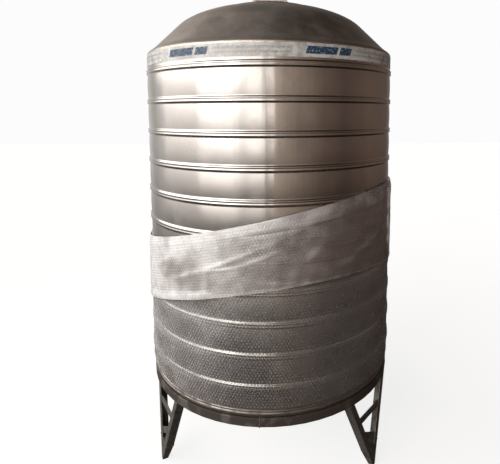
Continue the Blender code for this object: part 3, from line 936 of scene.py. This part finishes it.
def make_tape_print():
    made, tree, shader = new_material("printed_tape")
    place = add_node(tree, "ShaderNodeUVMap", uv_map="UVMap").outputs[0]
    axes = add_node(tree, "ShaderNodeSeparateXYZ", {0: place}).outputs
    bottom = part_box("tape_band")[0].z
    up = maths(tree, "SUBTRACT", axes["Y"], bottom)
    start = maths(tree, "MULTIPLY_ADD", up, PRINT_LEAN, axes["X"])
    share = maths(tree, "DIVIDE", maths(tree, "ADD", start, PRINT_START), TAPE_PERIOD)
    share = maths(tree, "FRACT", maths(tree, "ADD", share, WHOLE_REPEATS))

    def mark(left, right, low, high):
        mask = maths(tree, "GREATER_THAN", share, left)
        for test, value, limit in (
            ("LESS_THAN", share, right),
            ("GREATER_THAN", up, low),
            ("LESS_THAN", up, high),
        ):
            mask = maths(tree, "MULTIPLY", mask, maths(tree, test, value, limit))
        return mask

    navy = maths(tree, "MAXIMUM", *(mark(*edges) for edges in NAVY_BLOCKS))
    bars = maths(tree, "MAXIMUM", *(mark(*edges) for edges in GREY_BARS))
    worn = noise(tree, place, 160.0, 3.0)
    milk = eased(tree, noise(tree, place, 22.0, 4.0, 0.65), 0.35, 0.68)
    colour = blend_colours(tree, milk, TAPE_MILK, TAPE_DULL)
    bar_ink = maths(tree, "MULTIPLY", bars, eased(tree, worn, 0.42, 0.55, 0.35, 0.9))
    colour = blend_colours(tree, bar_ink, colour, TAPE_GREY)
    ink = maths(tree, "MULTIPLY", navy, eased(tree, worn, 0.36, 0.46, 0.45, 1.0))
    colour = blend_colours(tree, ink, colour, TAPE_NAVY)
    feed(tree, shader.inputs["Base Color"], colour)
    veil = maths(tree, "MAXIMUM", eased(tree, milk, 0.0, 1.0, 0.86, 0.60), ink)
    feed(tree, shader.inputs["Alpha"], veil)
    shader.inputs["Roughness"].default_value = 0.22
    creased = noise(tree, place, 45.0, 4.0)
    feed(tree, shader.inputs["Normal"], bump(tree, creased, 0.0016, 0.8))
    return made


def build_tape():
    low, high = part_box("tape_band")

    def place(bearing, share):
        height = low.z + (high.z - low.z) * share
        loose = np.clip(ripples(bearing, height, 11, 26, 0.05), 0.0, 1.0)
        pinned = np.sin(np.pi * share) ** 0.5
        lift = TAPE_LIFT + TAPE_WRINKLE * loose * (0.35 + 0.65 * pinned)
        return JACKET_RADIUS + lift + SHEET_WAVE / 2, height

    mesh = sheet_mesh("tape_turn", TAPE_COLUMNS, TAPE_ROWS, place)
    tape = link_piece("tape_turn", mesh, make_tape_print())
    finish_piece(tape, "packing_tape", "tape_band")


build_tape()

# The bubble wrap: clear polyethylene film with air bubbles of 10 mm in staggered rows, wound
# round the lower half of the tank. It is stretched over the beads there, so they show
# through it, and its bottom edge stops just above the rim.
BUBBLE_SIZE, BUBBLE_HEIGHT, BUBBLE_PITCH = 0.0104, 0.0030, 0.0125
PRESSED_HEIGHT, BUBBLE_SPREAD = 0.0011, (0.82, 1.04)
ROW_PITCH = BUBBLE_PITCH * math.sqrt(3) / 2
FILM_OFF_CREST, FILM_OFF_WALL = 0.0080, 0.0042
# How far from a bead's middle the film comes down to the wall, and over what length.
FILM_REACH, FILM_RAMP = 0.030, 0.024
FILM_LOOSE, FILM_SLACK = 0.0011, 0.0006
FILM_COLUMNS, FILM_ROWS = 360, 120
# The band's film is a brownish grey where it is not milky.
FILM_CLEAR, FILM_BROWNISH = (0.28, 0.265, 0.26), (0.38, 0.315, 0.295)
FILM_MILKY, FILM_DARKENED = (0.86, 0.845, 0.84), (0.10, 0.075, 0.060)
# The slanting band's lower edge, whose shade falls on this film: its middle height, and
# its rise towards the front and towards the right.
BAND_LOWER_EDGE = (0.7617, 0.1211, 0.0785)


def make_film(name, tint, *, alone, doubled, edge_on):
    """Clear film: milkier where it lies folded or doubled, by the veil attribute, and
    denser where it is seen edge on. The veil also holds painted light and shade: milkier on
    the lit side, clearer and darker in painted shade, and the band's painted shadow."""
    made, tree, shader = new_material(name)
    veil = add_node(tree, "ShaderNodeAttribute", attribute_name="veil").outputs["Fac"]
    place = object_place(tree)
    cloud = noise(tree, place, 11.0, 4.0, 0.6)
    speck = eased(tree, noise(tree, place, 420.0, 2.0), 0.55, 0.75)
    share = maths(tree, "MULTIPLY_ADD", cloud, 0.3, maths(tree, "ADD", veil, -0.15))
    colour = blend_colours(tree, eased(tree, share, 0.0, 1.0), tint, FILM_MILKY)
    # The film is darker and denser in patches and towards the bottom of the lower wrap.
    darkened = place_group(tree, DARKENING, Height=0.42, Fade=0.20, Amount=0.45, Density=9.0)
    colour = blend_colours(tree, darkened["Mask"], colour, FILM_DARKENED)
    feed(tree, shader.inputs["Base Color"], colour)
    alpha = eased(tree, share, 0.0, 1.0, alone, doubled)
    alpha = maths(tree, "MULTIPLY_ADD", speck, 0.25, alpha)
    alpha = maths(tree, "MULTIPLY_ADD", darkened["Mask"], 0.3, alpha)
    turned_away = add_node(tree, "ShaderNodeLayerWeight", {"Blend": 0.5}).outputs["Facing"]
    turned_away = maths(tree, "POWER", turned_away, 2.0)
    alpha = maths(tree, "MULTIPLY_ADD", turned_away, edge_on, alpha)
    feed(tree, shader.inputs["Alpha"], maths(tree, "MINIMUM", alpha, 1.0))
    shader.inputs["Roughness"].default_value = 0.17
    creases = noise(tree, object_place(tree, (1.0, 1.0, 0.6)), 60.0, 4.0, 0.6)
    feed(tree, shader.inputs["Normal"], bump(tree, creases, 0.003, 0.7))
    return made


LOWER_FILM = make_film("lower_film", FILM_CLEAR, alone=0.09, doubled=0.58, edge_on=0.35)
BAND_FILM = make_film("band_film", FILM_BROWNISH, alone=0.16, doubled=0.98, edge_on=0.45)
LOWER_BUBBLES = make_film("lower_bubbles_blown", FILM_CLEAR, alone=0.25, doubled=0.60, edge_on=0.9)
BAND_BUBBLES = make_film("band_bubbles_blown", FILM_BROWNISH, alone=0.14, doubled=1.0, edge_on=0.4)


def smooth(share, reach=1.0):
    """From 0 to the reach, as the share goes from 0 to 1, and level at both ends."""
    return reach * share * share * (3 - 2 * share)


def from_front(bearing):
    """The bearing as an angle from the front, between -pi and pi."""
    return (bearing + np.pi) % (2 * np.pi) - np.pi


def tilted_edge(edge, bearing):
    middle, front, right = edge
    return middle + front * np.cos(bearing) + right * np.sin(bearing)


def band_lower_edge(bearing):
    return tilted_edge(BAND_LOWER_EDGE, bearing)


def bead_rise(height):
    """How far the film stands off the wall over each bead, from 0 to 1."""
    beads = COURSES["lower"]
    first, pitch = beads["first"], beads["pitch"]
    step = np.clip(np.round((height - first) / pitch), 0, beads["count"] - 1)
    away = np.abs(height - first - step * pitch)
    return smooth(np.clip((FILM_REACH - away) / FILM_RAMP, 0.0, 1.0))


def lower_film_place(bearing, height):
    rise = bead_rise(height)
    lift = FILM_OFF_WALL + (FILM_OFF_CREST - FILM_OFF_WALL) * rise
    loose = FILM_LOOSE * (1 - rise) * ripples(bearing, height, 5, 24, 0.07)
    slack = FILM_SLACK * ripples(bearing, height, 6, 18, 0.25)
    return JACKET_RADIUS + lift + loose + slack


def lit_side(bearing, left, right, start=-22.0, width=60.0):
    """From one value on the left to another on the right: painted light, milkier film on the
    lit left, and painted shade, clearer and darker film, on the right.
    """
    turn = np.degrees(from_front(bearing))
    share = np.clip((turn - start) / width, 0.0, 1.0)
    share = share * np.clip((175.0 - turn) / 40.0, 0.0, 1.0)
    return left + smooth(share, right - left)


def set_veil(mesh, values):
    stored = mesh.attributes.new("veil", "FLOAT", "POINT")
    stored.data.foreach_set("value", np.asarray(values, np.float32).ravel())


def make_bubble_tree():
    """One low dome of film on each point, turned the way that the film faces there."""
    tree, given = new_tree(
        "bubbles",
        [
            ("Geometry", "Geometry", None),
            ("Size", "Float", BUBBLE_SIZE),
            ("Height", "Float", BUBBLE_HEIGHT),
            ("Seed", "Int", 8),
            ("Material", "Material", None),
        ],
    )
    ball = add_node(
        tree, "GeometryNodeMeshUVSphere", {"Segments": 8, "Rings": 4, "Radius": 0.5}
    ).outputs[0]
    place = add_node(tree, "GeometryNodeInputPosition").outputs[0]
    height = add_node(tree, "ShaderNodeSeparateXYZ", {0: place}).outputs["Z"]
    below = maths(tree, "LESS_THAN", height, -0.01)
    cap = add_node(
        tree,
        "GeometryNodeDeleteGeometry",
        {"Geometry": ball, "Selection": below},
        domain="FACE",
    ).outputs[0]
    size = add_node(
        tree,
        "ShaderNodeCombineXYZ",
        {
            "X": given["Size"],
            "Y": given["Size"],
            "Z": maths(tree, "MULTIPLY", given["Height"], 2.0),
        },
    ).outputs[0]
    cap = add_node(tree, "GeometryNodeTransform", {"Geometry": cap, "Scale": size}).outputs[0]
    facing = add_node(
        tree, "GeometryNodeInputNamedAttribute", {"Name": "facing"}, data_type="FLOAT_VECTOR"
    ).outputs["Attribute"]
    turn = add_node(tree, "FunctionNodeAlignRotationToVector", {"Vector": facing}, axis="Z").outputs[0]
    inputs = {"Points": given["Geometry"], "Instance": cap, "Rotation": turn}
    inputs["Scale"] = uneven_scale(tree, given["Seed"], *BUBBLE_SPREAD)
    placed = add_node(tree, "GeometryNodeInstanceOnPoints", inputs)
    return close_tree(tree, given, placed.outputs[0])


BUBBLE_TREE = make_bubble_tree()


def bubble_points(name, radius_at, low_at, high_at, rows):
    """Points in staggered rows on a film, between two edges, as a mesh with normals."""
    around = 2 * int(round(math.pi * JACKET_RADIUS / BUBBLE_PITCH))
    step = 2 * np.pi / around
    column, row = np.meshgrid(np.arange(around), rows, indexing="ij")
    bearing = (column + 0.5 * (row % 2)) * step
    height = low_at(bearing) + (row + 0.7) * ROW_PITCH
    kept = height < high_at(bearing) - BUBBLE_SIZE / 2
    bearing, height = bearing[kept], height[kept]

    def spot(turn, level):
        radius = radius_at(turn, level)
        return np.stack([radius * np.sin(turn), -radius * np.cos(turn), level], axis=-1)

    near = 0.002
    points = spot(bearing, height)
    along = spot(bearing + near, height) - points
    up = spot(bearing, height + near) - points
    facing = np.cross(along, up)
    facing /= np.linalg.norm(facing, axis=1)[:, None]
    mesh = bpy.data.meshes.new(name)
    mesh.from_pydata((points - facing * 0.0002).tolist(), [], [])
    stored = mesh.attributes.new("facing", "FLOAT_VECTOR", "POINT")
    stored.data.foreach_set("vector", facing.astype(np.float32).ravel())
    return mesh, bearing, height


def blow_bubbles(name, edges, rows, veil_at, rise, film):
    """Bubbles on a film. edges holds its radius and its lower and upper edge."""
    base, bearing, height = bubble_points(name, *edges, rows)
    set_veil(base, veil_at(bearing, height))
    piece = grown(name, BUBBLE_TREE, base, Height=rise, Material=film)
    return finish_piece(piece, "bubble_film")


def build_lower_wrap():
    low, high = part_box("wrap_lower")

    def low_at(bearing):
        return np.full_like(bearing, low.z)

    def high_at(bearing):
        return np.full_like(bearing, high.z)

    def veil_at(bearing, height):
        cloud = 0.07 * ripples(bearing, height, 21, 14, 0.3)
        # Painted light and shade: the film is milkier on the lit left, clearer and darker on the
        # right, and more so further down.
        shade_lower_down = np.clip((high.z - height) / 0.45, 0.0, 1.0)
        lit_and_shaded = lit_side(bearing, 0.37, 0.04 - 0.12 * shade_lower_down, -28.0 - 14.0 * shade_lower_down, 46.0)
        # Painted shadow of the band's lower edge: a darker strip of film just below it.
        band_shadow = np.exp(-((band_lower_edge(bearing) - height) / 0.014) ** 2)
        return lit_and_shaded + cloud + 0.10 * bead_rise(height) - 0.20 * band_shadow

    def place(bearing, share):
        height = low.z + (high.z - low.z) * share
        return lower_film_place(bearing, height), height

    mesh = sheet_mesh("wrap_lower_film", FILM_COLUMNS, FILM_ROWS, place)
    around = 2 * np.pi * np.arange(FILM_COLUMNS) / FILM_COLUMNS - np.pi
    height = np.tile(np.linspace(low.z, high.z, FILM_ROWS), FILM_COLUMNS)
    set_veil(mesh, veil_at(np.repeat(around, FILM_ROWS), height))
    film = link_piece("wrap_lower_film", mesh, LOWER_FILM)
    finish_piece(film, "bubble_film", "wrap_lower")
    count = int((high.z - low.z) / ROW_PITCH) + 1
    halves = np.array_split(np.arange(count), 2)
    edges = (lower_film_place, low_at, high_at)
    bubbles = [
        blow_bubbles(name, edges, rows, veil_at, BUBBLE_HEIGHT, LOWER_BUBBLES)
        for name, rows in zip(("wrap_lower_bubbles_1", "wrap_lower_bubbles_2"), halves)
    ]


build_lower_wrap()

# The last turn of the wrap: the same film, pulled round slantwise so that it climbs from
# the left to the right. It lies in several loose plies with a turned-over upper strip,
# slanting folds, and a rolled milky edge at its lower left.
BAND_OFF_WALL, BAND_OFF_TOP = 0.0140, 0.0088
BAND_UPPER_EDGE = (1.0915, 0.0461, 0.1217)
# Its flat width, which is its average height, and a height that it nowhere reaches.
BAND_WIDTH, BAND_LIMIT = 0.330, 0.50
BAND_COLUMNS, BAND_ROWS = 440, 76
BAND_LOOSE, BAND_FINE = 0.0013, 0.0004
HEM_HEIGHT, HEM_LIFT, STRIP_HEIGHT = 0.034, 0.0030, 0.062
# The darker oval hollow: its (bearing, height), and how far it reaches each way.
HOLLOW_MIDDLE, HOLLOW_REACH = (-41.0, 0.907), (15.0, 0.062)
# The slanting fold where the loose outer ply ends, from one (bearing, height) to another.
PLY_END = ((-26.3, 0.942), (-7.8, 1.018))
# Folds, each from one (bearing, height) to another, with its height and half width.
FOLDS = [
    ((-9.7, 1.077), (10.4, 1.105), -0.0034, 0.006),
    ((10.4, 1.105), (32.2, 1.13), -0.0036, 0.006),
    ((32.2, 1.13), (60.4, 1.14), -0.0028, 0.007),
    (*PLY_END, 0.0048, 0.009),
    ((-25.3, 0.94), (-12.7, 0.964), 0.0040, 0.006),
    ((-12.7, 0.964), (3.9, 1.028), 0.0036, 0.008),
    ((-42.9, 0.882), (-26.3, 0.942), 0.0040, 0.010),
    ((-54.6, 0.911), (-42.9, 0.969), 0.0034, 0.012),
    ((5.8, 0.94), (23.4, 1.057), 0.0028, 0.016),
    ((27.3, 0.95), (56.5, 1.057), 0.0034, 0.018),
    ((-4.9, 0.911), (13.7, 0.906), 0.0024, 0.008),
]


def band_upper_edge(bearing):
    return tilted_edge(BAND_UPPER_EDGE, bearing)


def fold_lift(bearing, height):
    """Ridges and creases along the folds, tapered towards their ends."""
    across = from_front(bearing) * JACKET_RADIUS
    total = np.zeros_like(height)
    for (b0, z0), (b1, z1), lift, width in FOLDS:
        x0, x1 = (math.radians(b) * JACKET_RADIUS for b in (b0, b1))
        run, rise = x1 - x0, z1 - z0
        length = run * run + rise * rise
        share = np.clip(((across - x0) * run + (height - z0) * rise) / length, 0.0, 1.0)
        away = np.hypot(across - x0 - share * run, height - z0 - share * rise)
        taper = 0.35 + 0.65 * np.sin(np.pi * share)
        total += lift * taper * np.exp(-((away / width) ** 2))
    return total


def hem_share(bearing, height):
    """1 on the rolled milky edge at the lower left, fading to 0 off it."""
    turn = np.degrees(from_front(bearing))
    ends = np.clip((-22.0 - turn) / 3.0, 0, 1) * np.clip((turn + 100.0) / 20.0, 0, 1)
    away = (height - band_lower_edge(bearing)) / HEM_HEIGHT
    return ends * np.clip(1.6 - away * 1.6, 0.0, 1.0)


def band_place(bearing, height):
    top, bottom = band_upper_edge(bearing), band_lower_edge(bearing)
    inside = np.clip((top - height) / 0.030, 0.0, 1.0)
    above = np.clip((height - bottom) / 0.012, 0.0, 1.0)
    rise = BAND_OFF_WALL - BAND_OFF_TOP
    lift = BAND_OFF_TOP + rise * inside * (0.7 + 0.3 * above)
    loose = ripples(bearing, height, 31, 30, 0.16) * BAND_LOOSE
    fine = ripples(bearing, height, 32, 26, 0.05) * BAND_FINE
    folds = fold_lift(bearing, height) + HEM_LIFT * hem_share(bearing, height)
    return JACKET_RADIUS + lift + (loose + fine) * inside + folds


def single_ply(turn, height):
    """1 below and to the right of the fold where the loose outer ply ends."""
    (start, foot), (end, head) = PLY_END
    slope = (head - foot) / (end - start)
    below = (foot + (turn - start) * slope - height) / 0.010
    beyond = np.clip((turn - start) / 2.0, 0.0, 1.0)
    return beyond * np.clip(below + 0.5, 0.0, 1.0)


def band_veil(bearing, height):
    """How milky the band is: by its plies, its folds and the side that is lit, with painted
    light on the lit left, painted shade to the right and lower down, and in the creases.
    """
    turn = np.degrees(from_front(bearing))
    top, bottom = band_upper_edge(bearing), band_lower_edge(bearing)
    strip = np.clip((height - (top - STRIP_HEIGHT)) / 0.008, 0.0, 1.0)
    across = (turn - HOLLOW_MIDDLE[0]) / HOLLOW_REACH[0]
    oval = np.hypot(across, (height - HOLLOW_MIDDLE[1]) / HOLLOW_REACH[1])
    hollow = np.clip(1.4 - oval, 0.0, 1.0) * (1 - hem_share(bearing, height))
    cloud = 0.05 * ripples(bearing, height, 41, 20, 0.22)
    streak = 0.08 * ripples(bearing, height - 0.2 * bearing, 42, 16, 0.06)
    # Painted light and shade: milkier on the lit left, clearer and darker to the right, and more so
    # further below the upper edge.
    shade_lower_down = np.clip((top - height) / 0.25, 0.0, 1.0)
    lit_and_shaded = lit_side(bearing, 0.80, 0.15 - 0.12 * shade_lower_down)
    veil = lit_and_shaded + 0.12 * strip - 0.34 * hollow + cloud + streak
    # The folds' ridges, where the film lies doubled, are milkier; their creases are clearer and
    # darker, as painted shade.
    veil = veil + 45.0 * fold_lift(bearing, height)
    veil = veil - 0.20 * single_ply(turn, height) * np.clip((25.0 - turn) / 30.0, 0.0, 1.0)
    edge = np.clip(1.0 - (height - bottom) / 0.014, 0.0, 1.0)
    return np.clip(veil + 0.5 * hem_share(bearing, height) + 0.25 * edge, 0.0, 1.2)


def build_band():
    def place(bearing, share):
        low, high = band_lower_edge(bearing), band_upper_edge(bearing)
        height = low + (high - low) * share
        return band_place(bearing, height), height

    mesh = sheet_mesh("wrap_band_film", BAND_COLUMNS, BAND_ROWS, place)
    points = np.empty(len(mesh.vertices) * 3)
    mesh.vertices.foreach_get("co", points)
    points = points.reshape(-1, 3)
    bearing = np.arctan2(points[:, 0], -points[:, 1])
    set_veil(mesh, band_veil(bearing, points[:, 2]))
    film = link_piece("wrap_band_film", mesh, BAND_FILM)
    finish_piece(film, "bubble_film", "wrap_band")
    rows = np.arange(int(BAND_LIMIT / ROW_PITCH))
    edges = (band_place, band_lower_edge, band_upper_edge)
    bubbles = blow_bubbles("wrap_band_bubbles", edges, rows, band_veil, PRESSED_HEIGHT, BAND_BUBBLES)


build_band()
